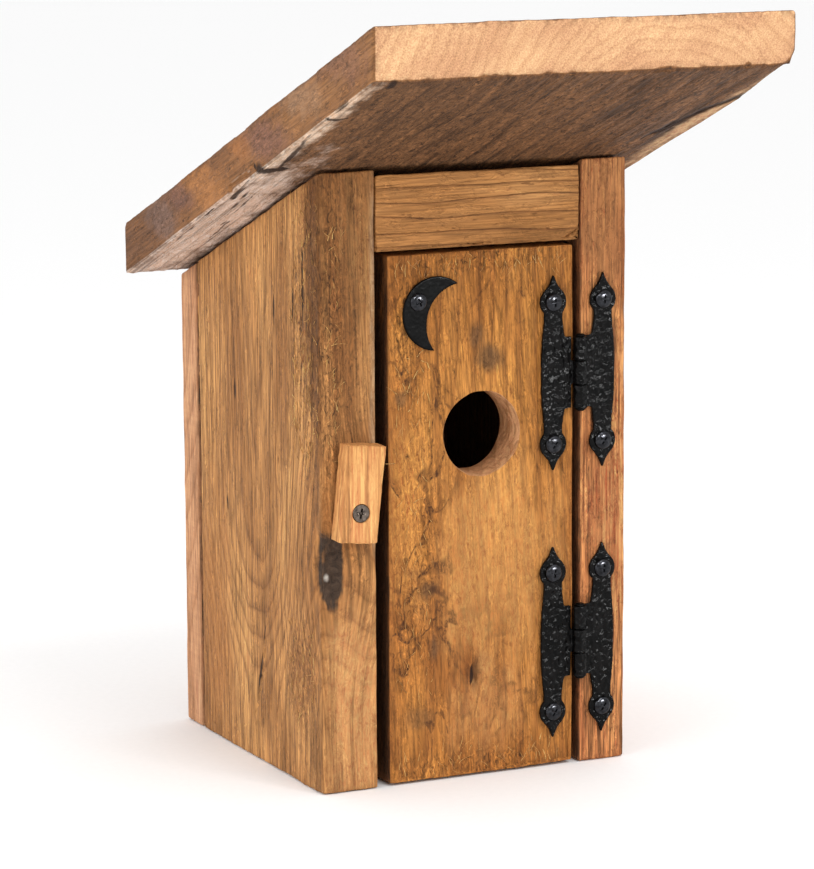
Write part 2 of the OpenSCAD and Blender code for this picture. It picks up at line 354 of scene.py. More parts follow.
def wood(name, grain, pith, light, middle, dark, late, ring_gap=5.0, ring_show=0.55, tilt=(0, 0),
         fibre=0.6, fuzz=0.45, blotch=0.6, ends=None, patches=(), cracks=(), fuzz_patches=(),
         streaks=0.5, wave=6.0, saw=0.0, arch=None, bore=None, weather_and_shade=None, late_from=0.86,
         late_soft=0.3, contours=(), knots=()):
    """Sawn wood cut from one log, so that its rings meet at every edge.

    Colours are (red, green, blue) as seen on a screen, 0 to 255. Places are in millimetres from
    the middle of the body's front face.
    pith is where the log's middle lies, and tilt leans it, in degrees. Each ring is ring_gap
    millimetres wide, darkens over the share late_soft and is darkest past late_from.
    arch is (low, high, amount): between those heights the rings swell by that amount.
    knots are (centre, radii, strength): the grain spreads round them.
    ends are the light and dark colour of the end grain.
    patches are (centre, radii, colour, share), and then the way the stained face looks, if only
    one face is stained. A share above 0.94 gives a patch a crisp edge.
    fuzz_patches are (centre, radii) of torn, hairy grain, and contours (centre, radii, share)
    of fine dark edges where a saw lifted the grain.
    cracks are (start, end, width), and then whether each end is thin, if not both are.
    bore is the colour of the entry hole's wall. weather_and_shade is (pale, dark, way): grey wisps
    on faces that look that way, their tones darkened as painted shade on those faces. saw is how
    much the saw's marks show.
    """
    light, middle, dark, late = (tone(*c) for c in (light, middle, dark, late))
    t = Tree(name)
    turn = (grain[0] + math.radians(tilt[0]), grain[1] + math.radians(tilt[1]), grain[2])
    log = t.turned(t.off(pith), turn)
    on_end = t.step(t.math("ABSOLUTE", t.part(t.turned(t.normal, grain, "VECTOR"), 2)), 0.75, 0.9)
    for centre, radii, strength in knots:
        pull = t.times(t.step(t.reach(centre, radii), 1.0, 0.0), -strength)
        log = t.vector("ADD", log, t.vector("SCALE", t.off(centre, (1, 1, 0)), scale=pull))

    # the log is never round: slow noise along the grain bends its rings
    bent = t.pushed(log, log, (14, 14, 4.5), wave * 2)
    bent = t.pushed(bent, log, (60, 60, 18), wave * 0.35)
    radius = t.vector("LENGTH", t.vector("MULTIPLY", bent, (1, 1, 0)))
    if arch:
        low, high, amount = arch
        swell = t.node("ShaderNodeMapRange", {"interpolation_type": "SMOOTHERSTEP"},
                       {0: t.part(t.place, 2), 1: low * MM, 2: high * MM, 3: amount * MM, 4: 0.0})
        radius = t.math("ADD", radius, swell.outputs[0])
    uneven = t.times(t.noise(t.vector("MULTIPLY", log, (1, 1, 0.2)), 45), 1.1)
    phase = t.math("FRACT", t.math("ADD", t.math("DIVIDE", radius, ring_gap * MM), uneven))
    latewood = t.ramp(phase, [(0.0, 0.35), (late_soft / 3, 0.0), (late_from - late_soft, 0.1),
                              (late_from, 0.7), ((1 + late_from) / 2, 1.0), (1.0, 0.35)])

    fine = t.noise(log, (1050, 1050, 40), 3.0, 0.6)
    strands = t.noise(log, (380, 380, 14), 3.0, 0.6, 0.3)
    patchy = t.noise(log, (26, 26, 9), 3.0, 0.55)
    nap = t.noise(log, (600, 600, 260), 4.0, 0.7, 1.2)
    tufts = t.noise(log, (260, 260, 90), 3.0, 0.65, 0.8)
    lined = t.noise(log, (430, 430, 8), 4.0, 0.72, 0.3)
    rag = t.noise(t.place, (90, 90, 30), 4.0, 0.65)

    mottled = t.scaled(t.math("SUBTRACT", patchy, 0.5), blotch * 2.4, 0.5)
    colour = t.ramp(mottled, [(0.15, dark), (0.5, middle), (0.85, light)])
    colour = t.mix(t.times(latewood, ring_show), colour, late)
    shade = t.ramp(strands, [(0.3, 1.0 - streaks * 0.75), (0.52, 1.0), (0.75, 1.0)])
    colour = t.mix(1.0, colour, shade, "MULTIPLY")
    shade = t.ramp(t.noise(log, (110, 110, 4.0)), [(0.3, 1.0 - streaks * 0.45), (0.7, 1.0)])
    colour = t.mix(1.0, colour, shade, "MULTIPLY")
    colour = t.overlay(fibre, colour, fine, [(0.36, 0.05), (0.5, 0.5), (0.62, 0.93)])

    torn_share = t.times(t.step(tufts, 0.45, 0.62), fuzz, clamp=True)
    for centre, radii in fuzz_patches:
        area = t.blob(centre, radii, rag, 0.35)
        torn_share = t.math("MAXIMUM", torn_share, t.times(area, 0.92))
    torn = t.ramp(nap, [(0.36, 0.0), (0.45, 0.4), (0.54, 0.58), (0.64, 1.0)])
    hairy = t.times(torn_share, t.scaled(on_end, -0.8, 1.0))
    colour = t.mix(hairy, colour, t.mix(0.85, colour, torn, "OVERLAY"))
    pits = t.step(t.noise(log, (700, 700, 130), 2.0, 0.6), 0.36, 0.29)
    colour = t.mix(t.times(pits, 0.55), colour, late)

    # Grey wisps on faces that look one way, their dark tones partly painted shade
    if weather_and_shade:
        pale, worn_dark_and_shade = (tone(*c) for c in weather_and_shade[:2])
        between = tuple((a + b) / 2 for a, b in zip(pale, worn_dark_and_shade))
        wisps = t.noise(log, (120, 120, 16), 4.0, 0.6, 1.4)
        wisps = t.scaled(t.math("SUBTRACT", lined, wisps), 0.35, wisps)
        lines = t.ramp(wisps, [(0.36, worn_dark_and_shade), (0.48, between), (0.64, pale)])
        lines = t.mix(0.9, lines, torn, "OVERLAY")
        colour = t.mix(t.times(t.toward(weather_and_shade[2]), 0.85), colour, lines)
    if saw:
        lines = t.noise(log, (9, 9, 420), 2.0, 0.6)
        colour = t.overlay(saw, colour, lines, [(0.35, 0.25), (0.65, 0.75)])
    if ends:
        colour = t.mix(on_end, colour, end_grain(t, latewood, *ends))

    line_shade = t.ramp(lined, [(0.38, 0.3), (0.48, 0.9), (0.6, 1.0)])
    for centre, radii, stain, share, *ways in patches:
        stain = tone(*stain)
        area = t.blob(centre, radii, rag, soft=0.12 if share > 0.94 else 0.42)
        shade = t.mix(0.7 if sum(stain[:3]) < 0.5 else 0.35, stain, torn, "OVERLAY")
        for way in ways:
            area = t.times(area, t.toward(way))
            shade = t.mix(0.75, shade, line_shade, "MULTIPLY")
        colour = t.mix(t.times(area, share), colour, shade)

    if bore:
        from_middle = t.vector("LENGTH", t.off((HOLE_X, 0, HOLE_Z), (1, 0, 1)))
        on_wall = t.step(t.math("ABSOLUTE", t.part(t.normal, 1)), 0.75, 0.5)
        inside = t.step(from_middle, (HOLE_RADIUS + 2) * MM, (HOLE_RADIUS + 1) * MM)
        wall = t.overlay(0.5, tone(*bore), nap, [(0.35, 0.25), (0.65, 0.75)])
        wall = t.mix(t.times(latewood, 0.3), wall, late)
        colour = t.mix(t.times(on_wall, inside), colour, wall)

    if contours:
        near = t.noise(t.place, (34, 34, 24), 3.0, 0.5, 0.7)
        near = t.math("ABSOLUTE", t.math("SUBTRACT", near, 0.5))
        edge_line = t.times(t.step(near, 0.022, 0.004), t.step(t.times(nap, 0.05), 0.02, 0.03))
        for centre, radii, share in contours:
            area = t.times(t.blob(centre, radii, rag, 0.35), share)
            colour = t.mix(t.times(area, edge_line), colour, CONTOUR_TONE)

    rim = t.node("ShaderNodeAttribute", {"attribute_name": "rim"}).outputs["Fac"]
    scuffed = t.times(rim, t.step(tufts, 0.42, 0.6))
    colour = t.mix(t.times(scuffed, 0.5), colour, dark)

    height = t.scaled(strands, 0.8, t.times(fine, 0.35))
    height = t.scaled(latewood, 0.25, height)
    height = t.scaled(t.times(torn_share, t.scaled(on_end, -1.5, 1.9)), nap, height)
    if cracks:
        drifted = t.pushed(t.place, t.place, 70, 3)
        crack = t.near_line(drifted, *cracks[0])
        for line in cracks[1:]:
            crack = t.math("MAXIMUM", crack, t.near_line(drifted, *line))
        # Painted shade: the cracks are coloured dark as well as sunk by the bump
        colour = t.mix(t.times(crack, 0.93), colour, CRACK_SHADE_TONE)
        height = t.scaled(crack, -2.5, height)
    gloss = t.ramp(strands, [(0.3, 0.84), (0.7, 0.66)])
    return t.finish(Base_Color=colour, Roughness=gloss, Normal=t.bump(height, 0.0007, 0.85),
                    Specular_IOR_Level=0.25)


def metal(name, dark, light, start, cloud, fine, gloss, bump, dented=False, **finish):
    """Iron, paint or plating: cloudy colour, and a fine grain in its gloss and relief.

    Below start the cloud is all dark. cloud and fine are what noise() takes, gloss the lowest
    and highest roughness, and bump the relief's depth and strength. dented metal has a hammered
    relief too."""
    t = Tree(name)
    colour = t.ramp(t.noise(t.place, *cloud), [(start, tone(*dark)), (0.7, tone(*light))])
    grain = t.noise(t.place, *fine)
    height = grain
    if dented:
        dents = t.node("ShaderNodeTexVoronoi", {"feature": "F1"}, {
            "Vector": t.vector("MULTIPLY", t.place, (330, 330, 250)), "Scale": 1.0})
        height = t.scaled(grain, 0.25, dents.outputs["Distance"])
    return t.finish(Base_Color=colour, Roughness=t.ramp(grain, [(0.3, gloss[0]), (0.7, gloss[1])]),
                    Normal=t.bump(height, *bump), **finish)


# ---------------------------------------------------------------- noise for mesh shaping


def lattice(i, j, k, seed):
    """A repeatable number from -1 to 1 at each lattice point."""
    h = (i * 374761393 + j * 668265263 + k * 1440662683 + seed * 974634777) & 0xFFFFFFFF
    h = ((h ^ (h >> 13)) * 1274126177) & 0xFFFFFFFF
    return ((h ^ (h >> 16)) & 0xFFFF) / 32767.5 - 1


def noise(points, cell, seed):
    """Smooth noise from -1 to 1 over points in millimetres, with cells of the given size."""
    scaled = points / np.asarray(cell, float)
    corner = np.floor(scaled).astype(np.int64)
    part = scaled - corner
    part = part * part * (3 - 2 * part)
    total = np.zeros(len(points))
    for step in np.ndindex(2, 2, 2):
        share = np.prod([part[:, a] if step[a] else 1 - part[:, a] for a in range(3)], axis=0)
        total += share * lattice(*(corner + step).T, seed)
    return total


def layered(points, cell, seed, layers=3):
    """Noise with finer, fainter layers on top."""
    cell = np.asarray(cell, float)
    total = sum(noise(points, cell / 2**n, seed + n) / 2**n for n in range(layers))
    return total / sum(1 / 2**n for n in range(layers))


def smooth(x, low, high):
    """0 at low, 1 at high, smooth between. low may be the larger of the two."""
    x = np.clip((x - low) / (high - low), 0, 1)
    return x * x * (3 - 2 * x)


def line_distance(flat, path):
    """Distance of 2-D points from a path of straight pieces, and how far along it they lie."""
    best = np.full(len(flat), 1e9)
    along = np.zeros(len(flat))
    path = [np.array(p, float) for p in path]
    pieces = len(path) - 1
    for n, (first, last) in enumerate(zip(path, path[1:])):
        run = last - first
        share = np.clip((flat - first) @ run / (run @ run), 0, 1)
        far = np.linalg.norm(flat - first - share[:, None] * run, axis=1)
        near = far < best
        best = np.where(near, far, best)
        along = np.where(near, (n + share) / pieces, along)
    return best, along


# ---------------------------------------------------------------- where the screws go

FRONT = np.array([0.0, -1.0, 0.0])
BACKWARD = np.array([0.0, 1.0, 0.0])
ROOF_OUT = np.array([0.0, math.sin(SLOPE_ANGLE), math.cos(SLOPE_ANGLE)])
# How far the flat heads of the board screws lie below the boards' faces
SUNK = 0.9


def roof_screw(x, y):
    """Where a roof screw's head sits, which way it faces and how its cross is turned."""
    foot = at_body(x, y, 0)
    foot[2] = roof_under(foot[1])
    thick = ROOF_PLUMB * math.cos(SLOPE_ANGLE)
    return foot + ROOF_OUT * (thick - SUNK), ROOF_OUT, 15 * x + 3 * y


def back_screw(x, z, turn):
    return at_body(x, BODY_DEEP - SUNK, z), BACKWARD, turn


ROOF_SCREWS = [roof_screw(x, y) for x in (-63, 65) for y in (28, 108)]
BACK_SCREWS = [back_screw(x, z, x + 7 * z) for x in (-63, 65) for z in (30, 105, 180)]
FLOOR_SCREWS = [back_screw(x, FLOOR_LOW[2] + 9.5, 3 * x) for x in (-25, 29)]

# ---------------------------------------------------------------- solids and mesh objects


def loft(rings):
    """A closed solid skinned over rings of points, one above the other.

    A ring of one point is a tip. The first and the last ring are filled in."""
    points = np.concatenate([np.asarray(ring, float) for ring in rings])
    ends = np.cumsum([0] + [len(ring) for ring in rings])
    numbers = [tuple(range(a, b)) for a, b in zip(ends, ends[1:])]
    faces = [end for end in (numbers[0][::-1], numbers[-1]) if len(end) > 1]
    for low, high in zip(numbers, numbers[1:]):
        for n in range(max(len(low), len(high))):
            corners = (low[n % len(low)], low[(n + 1) % len(low)],
                       high[(n + 1) % len(high)], high[n % len(high)])
            faces.append(tuple(dict.fromkeys(corners)))
    return points, faces


def circle(radius, height, turns):
    if radius < 1e-6:
        return [(0.0, 0.0, height)]
    angles = [2 * math.pi * n / turns for n in range(turns)]
    return [(radius * math.cos(a), radius * math.sin(a), height) for a in angles]


def lathe(profile, turns=48):
    """A turned solid about Z from (radius, height) pairs."""
    return loft([circle(radius, height, turns) for radius, height in profile])


def brick(low, high):
    """A plain box between two corners."""
    return loft([[(low[0], low[1], z), (high[0], low[1], z), (high[0], high[1], z),
                  (low[0], high[1], z)] for z in (low[2], high[2])])


def join(solids):
    """Several solids' points and faces as one set."""
    faces, start = [], 0
    for points, own_faces in solids:
        faces += [tuple(i + start for i in face) for face in own_faces]
        start += len(points)
    return np.concatenate([points for points, _ in solids]), faces


def make_object(name, points, faces, material, rim=None):
    """A smooth-shaded mesh object from points in millimetres, with its rim values if given."""
    mesh = bpy.data.meshes.new(name)
    mesh.from_pydata((np.asarray(points) * MM).tolist(), [], [list(map(int, f)) for f in faces])
    mesh.shade_smooth()
    if rim is not None:
        mesh.attributes.new("rim", "FLOAT", "POINT").data.foreach_set("value", rim)
    mesh.materials.append(material)
    made = bpy.data.objects.new(name, mesh)
    bpy.context.scene.collection.objects.link(made)
    return made


def mesh_values(piece, what):
    """Each point's three values of a kind, such as its place, as an array."""
    flat = np.empty(len(piece.data.vertices) * 3)
    piece.data.vertices.foreach_get(what, flat)
    return flat.reshape(-1, 3)


def bake_modifiers(piece):
    """Makes the mesh what the piece's modifiers make of it, and drops them."""
    evaluated = piece.evaluated_get(bpy.context.evaluated_depsgraph_get())
    mesh = bpy.data.meshes.new_from_object(evaluated)
    piece.modifiers.clear()
    piece.data = mesh
    mesh.shade_smooth()


def cut(piece, points, faces, crease):
    """Cuts a solid out of a piece, and keeps creases sharper than an angle in degrees."""
    cutter = make_object("cutter", points, faces, piece.data.materials[0])
    modifier = piece.modifiers.new("cut", "BOOLEAN")
    modifier.operation = "DIFFERENCE"
    modifier.solver = "EXACT"
    modifier.object = cutter
    bake_modifiers(piece)
    bpy.data.objects.remove(cutter)
    piece.data.set_sharp_from_angle(angle=math.radians(crease))


def stand_for(piece, slot, body, *nodes):
    """The piece rides on a body and takes the place of CAD nodes."""
    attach(piece, body)
    if slot in ("black_iron", "steel"):
        IRONWORK.objects.link(piece)
    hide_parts(*nodes)


def facing_matrix(out, turn=0.0):
    """Rotation that points +Z along out, after a turn about it in degrees."""
    quaternion = Vector(out).to_track_quat("Z", "Y")
    return np.array(quaternion.to_matrix() @ Matrix.Rotation(math.radians(turn), 3, "Z"))


# ---------------------------------------------------------------- boards


def grid_lines(low, high, step, edge, dense):
    """Grid positions along one side: close together by the edges and in the dense spans."""
    rim = edge * np.linspace(0, 1, 5)
    count = max(2, round((high - low - 2 * edge) / step))
    spans = [np.arange(*span) for span in dense]
    lines = [low + rim, high - rim, np.linspace(low + edge, high - edge, count + 1), *spans]
    lines = np.unique(np.round(np.concatenate(lines), 3))
    keep = np.concatenate([[True], np.diff(lines) > 0.12])
    keep[-1] = True
    return lines[keep]


def block(low, high, step, edge, dense):
    """The skin of a box as a grid: its points in millimetres and its four-sided faces."""
    steps = np.broadcast_to(step, 3)
    lines = [grid_lines(low[a], high[a], steps[a], edge, dense[a]) for a in range(3)]
    counts = [len(side) for side in lines]
    faces = []
    for axis in range(3):
        u, v = (axis + 1) % 3, (axis + 2) % 3
        iu, iv = np.meshgrid(np.arange(counts[u] - 1), np.arange(counts[v] - 1), indexing="ij")
        for end in (0, counts[axis] - 1):
            corners = []
            for du, dv in ((0, 0), (1, 0), (1, 1), (0, 1)):
                index = [None] * 3
                index[axis] = np.full(iu.size, end)
                index[u] = iu.ravel() + du
                index[v] = iv.ravel() + dv
                corners.append((index[0] * counts[1] + index[1]) * counts[2] + index[2])
            if end == 0:
                corners.reverse()
            faces.append(np.stack(corners, axis=1))
    keys, faces = np.unique(np.concatenate(faces), return_inverse=True)
    i, rest = np.divmod(keys, counts[1] * counts[2])
    j, k = np.divmod(rest, counts[2])
    return np.stack([lines[0][i], lines[1][j], lines[2][k]], axis=1), faces.reshape(-1, 4)


def worn_block(low, high, seed, step, edge, wear, swell, cell=(18, 18, 60),
               wear_cell=(9, 9, 15), dense=((), (), ()), shape=None):
    """A board with edges eased by edge +- wear and faces uneven by swell, inside its box.

    shape(points, facing) gives a further depth in millimetres at each point, for splits,
    knots and chips. Returns points, faces and each point's rim value: 1 on an edge, 0 on
    the open face."""
    flat, faces = block(low, high, step, edge + wear + 1.2, dense)
    radius = np.maximum(edge + wear * layered(flat, wear_cell, seed), 0.35)
    radius = np.minimum(radius, (high - low).min() / 2 - 0.01)[:, None]
    inner = np.clip(flat, low + radius, high - radius)
    facing = flat - inner
    facing /= np.maximum(np.linalg.norm(facing, axis=1)[:, None], 1e-9)
    points = inner + facing * radius
    depth = swell * 0.5 * (1 + layered(points, cell, seed + 7))
    depth += 0.12 * (1 + noise(points, (2.6, 2.6, 8), seed + 21))
    if shape:
        depth += shape(points, facing)
    walls = np.sort(np.minimum(flat - low, high - flat), axis=1)
    return points - facing * depth[:, None], faces, smooth(walls[:, 1], 5, 0.5)


def make_board(name, low, high, seed, material, rise=None, **wear):
    """A worn board. rise(points) gives how far each point is lifted at the end."""
    points, faces, rim = worn_block(low, high, seed, **wear)
    if rise:
        points[:, 2] += rise(points)
    return make_object(name, points, faces, material, rim)


def under_the_roof(top):
    """The lift that makes a board's top, level at first, slope under the roof."""
    return lambda points: points[:, 2] * (roof_under(points[:, 1]) / top - 1)


def groove(flat, path, width, depth, seed):
    """Depth of a split along a 2-D path: narrow, ragged and thinning out at both ends."""
    wander = np.stack([noise(np.c_[flat, flat[:, 0]], (5, 5, 5), seed + n) for n in (0, 1)], 1)
    far, along = line_distance(flat + 0.7 * wander, path)
    taper = np.sqrt(np.clip(4 * along * (1 - along), 0, 1))
    return depth * taper * smooth(far, width * (0.4 + 0.6 * taper), 0)


def countersinks(flat, places):
    """Depth of the shallow rings that the screw heads sit in."""
    far = [np.linalg.norm(flat - place, axis=1) for place in places]
    return 1.1 * smooth(np.min(far, axis=0), 5.8, 4.4)


# ---------------------------------------------------------------- the shapes of the boards


def left_shape(points, facing):
    """The torn front edge, the split and the bark-covered knot on the front corner."""
    x, y, z = points.T
    side = facing[:, 0] < -0.5
    knot = np.linalg.norm((points - at_body(-77, 0, 104)) / (11, 9, 20), axis=1)
    depth = 2.0 * smooth(knot + 0.3 * layered(points, (4, 4, 4), 23), 1.1, 0.35)
    worn = smooth(y, FRONT_Y + 30, FRONT_Y) * smooth(z, 140, 200)
    depth += side * worn * 0.5 * (1 + layered(points, (4, 3, 12), 25))
    depth += (facing[:, 0] < -0.3) * 2.2 * smooth(y, LEFT_HIGH[1] - 3, LEFT_HIGH[1] - 0.5)
    corner = (y - FRONT_Y) + (x - LEFT_LOW[0])
    torn_corner = 3.4 * smooth(z, 110, 190) * (1 + 0.8 * layered(points, (4, 4, 9), 29))
    depth += 0.6 * np.clip(torn_corner - corner, 0, 4)
    split = [(FRONT_Y + a, b) for a, b in ((62, 66), (68, 44), (77, 18))]
    return depth + side * groove(points[:, 1:], split, 0.9, 1.2, 27)


# The split in the roof's underside, from the middle of the body's front face
ROOF_SPLIT = [(94.3, -82.5), (89.5, -69.6), (84.1, -57.3), (79, -43), (73, -20)]


def roof_shape(points, facing):
    """The split, the notch, the torn left edge, the worn corner and the chipped front."""
    x, y, z = points.T
    under, side, front = facing[:, 2] < -0.5, facing[:, 0] < -0.5, facing[:, 1] < -0.2
    split = [at_body(a, b, 0)[:2] for a, b in [(100, -117), *ROOF_SPLIT]]
    notch = [at_body(a, b, 0)[:2] for a, b in ((-108, -2), (-100, -1.5), (-93, -2.7))]
    torn_end = [(FRONT_Y + a, b) for a, b in ((5, 6), (9, 4), (31, 4.5), (29, 0))]
    depth = under * groove(points[:, :2], split, 2.2, 4.0, 31)
    outboard = x - np.interp(y, [p[1] for p in split], [p[0] for p in split])
    depth += under * smooth(outboard, 0, 2) * 0.9
    depth += under * groove(points[:, :2], notch, 2.4, 3.0, 33)
    depth += side * groove(points[:, 1:], torn_end, 1.3, 1.8, 35)
    depth += side * 0.64 * (1 + layered(points, (6, 34, 5), 37))
    corner = (x - ROOF_HIGH[0]) - z + 8 * smooth(y, ROOF_LOW[1] + 70, ROOF_LOW[1])
    depth += np.clip(corner + 0.6 * layered(points, (6, 9, 6), 39), 0, 9) * 0.72
    chips = front * smooth(layered(points, (4, 6, 4), 41), 0.15, 0.5)
    depth += chips * (1.1 * smooth(z, 4.5, 0.5) + 0.5 * smooth(ROOF_PLUMB - z, 3.5, 0.5))
    depth += 0.55 * under * (1 + layered(points, (2.3, 60, 9), 43))
    heads = [p[:2] for p, *_ in ROOF_SCREWS]
    return depth + (facing[:, 2] > 0.5) * countersinks(points[:, :2], heads)


def back_shape(points, facing):
    heads = [p[[0, 2]] for p, *_ in BACK_SCREWS + FLOOR_SCREWS]
    return (facing[:, 1] > 0.5) * countersinks(points[:, [0, 2]], heads)


def rail_shape(points, facing):
    """A torn lower edge, torn deeper at the right end, and faint ridges."""
    x, y, z = points.T
    edge, end = RAIL_LOW[2], RAIL_HIGH[0]
    torn = 1.1 * smooth(z, edge + 7, edge) * (1 + layered(points, (12, 5, 4), 61))
    torn += 3.0 * smooth(x, end - 9, end - 1) * smooth(z, edge + 8, edge)
    torn += 0.1 * (1 + noise(points, (34, 9, 5), 63))
    return (facing[:, 1] < -0.3) * torn


def rail_rise(points):
    """Slopes the rail's top under the roof and leaves its lower edge level."""
    share = (points[:, 2] - RAIL_LOW[2]) / (RAIL_HIGH[2] - RAIL_LOW[2])
    return -share * SLOPE * (points[:, 1] - FRONT_Y)


def door_shape(points, facing):
    """Raised grain, the torn lower edge and the slit low down."""
    x, y, z = points.T
    hole_x = at_body(HOLE_X, 0, 0)[0]
    right_half = smooth(x, hole_x - 12, hole_x + 12)
    torn = (0.26 + 0.5 * right_half) * (1 + noise(points, (3.2, 50, 46), 51))
    low = smooth(z, DOOR_LOW[2] + 26, DOOR_LOW[2] + 4)
    torn += low * 0.7 * (1 + layered(points, (3, 3, 14), 53))
    slit = [at_body(-0.6, 0, h)[[0, 2]] for h in (42, 48, 54)]
    torn += groove(points[:, [0, 2]], slit, 1.2, 1.6, 55)
    return (facing[:, 1] < -0.5) * torn


def make_door(material):
    """The door board with its ragged, slightly flared entry hole."""
    centre = at_body(HOLE_X, 0, HOLE_Z)
    near = HOLE_RADIUS + 2
    dense = [((centre[a] - near, centre[a] + near, 1.1),) if a != 1 else () for a in range(3)]
    door = make_board("door", DOOR_LOW, DOOR_HIGH, 7, material, step=(1.2, 2.0, 1.6), edge=1.1,
                      wear=0.7, swell=0.5, dense=dense, shape=door_shape)
    depth = DOOR_HIGH[1] - DOOR_LOW[1]
    wall = [(1.9, -2), (0.9, 0), (0.315, 0.9), (0, 2.4), (-0.05, depth * 0.5), (0, depth - 2),
            (0.8, depth), (2, depth + 2)]
    tool, faces = lathe(
        [(0, -2), *((HOLE_RADIUS + flare, z) for flare, z in wall), (0, depth + 2)], 120)
    angle = np.arctan2(tool[:, 1], tool[:, 0])
    ragged = 0.3 * noise(np.c_[8 * np.cos(angle), 8 * np.sin(angle), tool[:, 2]], (2, 2, 6), 59)
    length = np.maximum(np.linalg.norm(tool[:, :2], axis=1), 1e-6)
    tool[:, :2] *= (1 + np.maximum(ragged, -0.05) / length)[:, None]
    cut(door, tool @ facing_matrix((0, 1, 0)).T + centre, faces, 50)
    return door


FIBRE_LONG, FIBRE_THICK, FIBRE_LOWEST = (3, 8), (0.1, 0.22), 1.5


def make_fibres(name, material, count, seed, low, high, out):
    """Torn fibres that lie on a face: thin closed spikes, mostly along the upright grain.

    Their roots lie on the rectangle between two points, and no tip passes below the lowest
    height that a fibre may reach."""
    rng = np.random.default_rng(seed)
    out, grain = np.array(out, float), np.array([0.0, 0.0, 1.0])
    across = np.cross(out, grain)
    fibres = []
    for _ in range(count):
        u, v = rng.random(), rng.random()
        root = low + (high - low) * (u, u, v)
        lean = rng.normal(0, 0.45)
        way = (grain * math.cos(lean) + across * math.sin(lean)) * rng.choice((-1, 1))
        bend = np.cross(out, way) * rng.normal(0, 0.35) + out * rng.uniform(-0.05, 0.16)
        long = rng.uniform(*FIBRE_LONG)
        if root[2] + (way[2] + bend[2]) * long < FIBRE_LOWEST:
            way, bend = -way, -bend
        thick = rng.uniform(*FIBRE_THICK)
        side = np.cross(out, way)
        rings = []
        for share in (0.0, 0.35, 0.7):
            centre = root + way * long * share + bend * long * share**2 + out * 0.05
            radius = thick * (1 - 0.8 * share)
            rings.append([centre + (side * math.cos(a) + out * math.sin(a)) * radius
                          for a in (0.3, 2.4, 4.5)])
        fibres.append(loft([*rings, [root + way * long + bend * long + out * 0.05]]))
    return make_object(name, *join(fibres), material)


# ---------------------------------------------------------------- screws, moon, button


def cross_recess(reach, width, depth):
    """A Phillips-shaped cutter that tapers down from the origin."""
    half = width / 2
    arm = [(reach, -half), (reach, half), (half, half)]
    plus = arm + [(-v, u) for u, v in arm]
    plus += [(-u, -v) for u, v in plus]
    rings = []
    for height, share in ((-depth, 0.4), (0.0, 1.0), (2.0, 1.1)):
        shrink = [[c * (share if abs(c) > half else 0.6 + 0.4 * share) for c in p] for p in plus]
        rings.append([(*p, height) for p in shrink])
    return loft(rings)


def make_screws(name, places, profile, material, recess=None, top=0.0, turns=48):
    """One mesh of several turned screws, with cross recesses cut down from top if recess is
    given as (reach, width, depth). places are (point, way out, turn in degrees)."""
    shaft, faces = lathe(profile, turns)
    matrices = [facing_matrix(out, turn) for _, out, turn in places]
    solids = [(shaft @ m.T + place, faces) for m, (place, *_) in zip(matrices, places)]
    piece = make_object(name, *join(solids), material)
    if recess:
        tool, faces = cross_recess(*recess)
        for m, (place, *_) in zip(matrices, places):
            cut(piece, (tool + (0, 0, top)) @ m.T + place, faces, 35)
    return piece


def shank(radius, length):
    return [(0, -length), (radius * 0.4, 1.2 * radius - length), (radius, 2.2 * radius - length)]


def flat_head(radius, head, height, length):
    """Countersunk screw: a slightly domed head with a soft rim at the origin, shank down."""
    return [*shank(radius, length), (radius, -height), (head - 0.25, -0.42), (head, -0.2),
            (head - 0.16, -0.04), (head * 0.7, 0.0), (0, 0.0)]


def round_head(radius, head, height, length):
    """Round head screw: its dome stands on the origin's plane, shank down."""
    angles = [math.pi / 2 * n / 7 for n in range(7)]
    dome = [(head * math.cos(a) ** 0.85, height * math.sin(a)) for a in angles]
    return [*shank(radius, length), (radius, 0.02), *dome, (0, height)]


def grow(outline, distance):
    """Moves a closed 2-D outline outwards by a distance (inwards if it is negative)."""
    before = outline - np.roll(outline, 1, axis=0)
    after = np.roll(outline, -1, axis=0) - outline
    before /= np.linalg.norm(before, axis=1)[:, None]
    after /= np.linalg.norm(after, axis=1)[:, None]
    along = before + after
    along /= np.maximum(np.linalg.norm(along, axis=1)[:, None], 1e-9)
    return outline + distance * np.stack([along[:, 1], -along[:, 0]], 1)


def plate(outline, thickness, soften):
    """A flat plate on the door's face: its outline in X and Z, and its front edge softened."""
    levels = [(0.0, 0.0), (0.0, thickness - soften), (-soften * 0.3, thickness - soften * 0.3),
              (-soften, thickness)]
    return loft([[(x, FRONT_Y - height, z) for x, z in grow(outline, inset)]
                 for inset, height in levels])


def hammered(name, solid, material, voxel, relax, amount, cell, seed, node):
    """A solid remeshed evenly, softened and hammered: scattered shallow dimples on its front.

    It stays inside the CAD node's box."""
    piece = make_object(name, *solid, material)
    remesh = piece.modifiers.new("even", "REMESH")
    remesh.mode = "VOXEL"
    remesh.voxel_size = voxel * MM
    soften = piece.modifiers.new("soften", "SMOOTH")
    soften.iterations = relax
    soften.factor = 0.6
    bake_modifiers(piece)
    points, normals = mesh_values(piece, "co") / MM, mesh_values(piece, "normal")
    scaled = points / cell
    corner = np.floor(scaled).astype(np.int64)
    nearest = np.full(len(points), 9.0)
    for step in np.ndindex(3, 3, 3):
        at = corner + np.array(step) - 1
        spot = np.stack([lattice(*at.T, seed + n) for n in range(3)], 1) * 0.4 + 0.5 + at
        nearest = np.minimum(nearest, np.linalg.norm(scaled - spot, axis=1))
    depth = amount * smooth(nearest, 0.75, 0.1)
    depth += amount * 0.5 * (1 + noise(points, (cell * 0.5,) * 3, seed))
    depth *= 0.25 + 0.75 * smooth(-normals[:, 1], 0.3, 0.8)
    points = np.clip(points - normals * depth[:, None], *box_mm(node))
    piece.data.vertices.foreach_set("co", (points * MM).ravel())
    piece.data.update()
    return piece


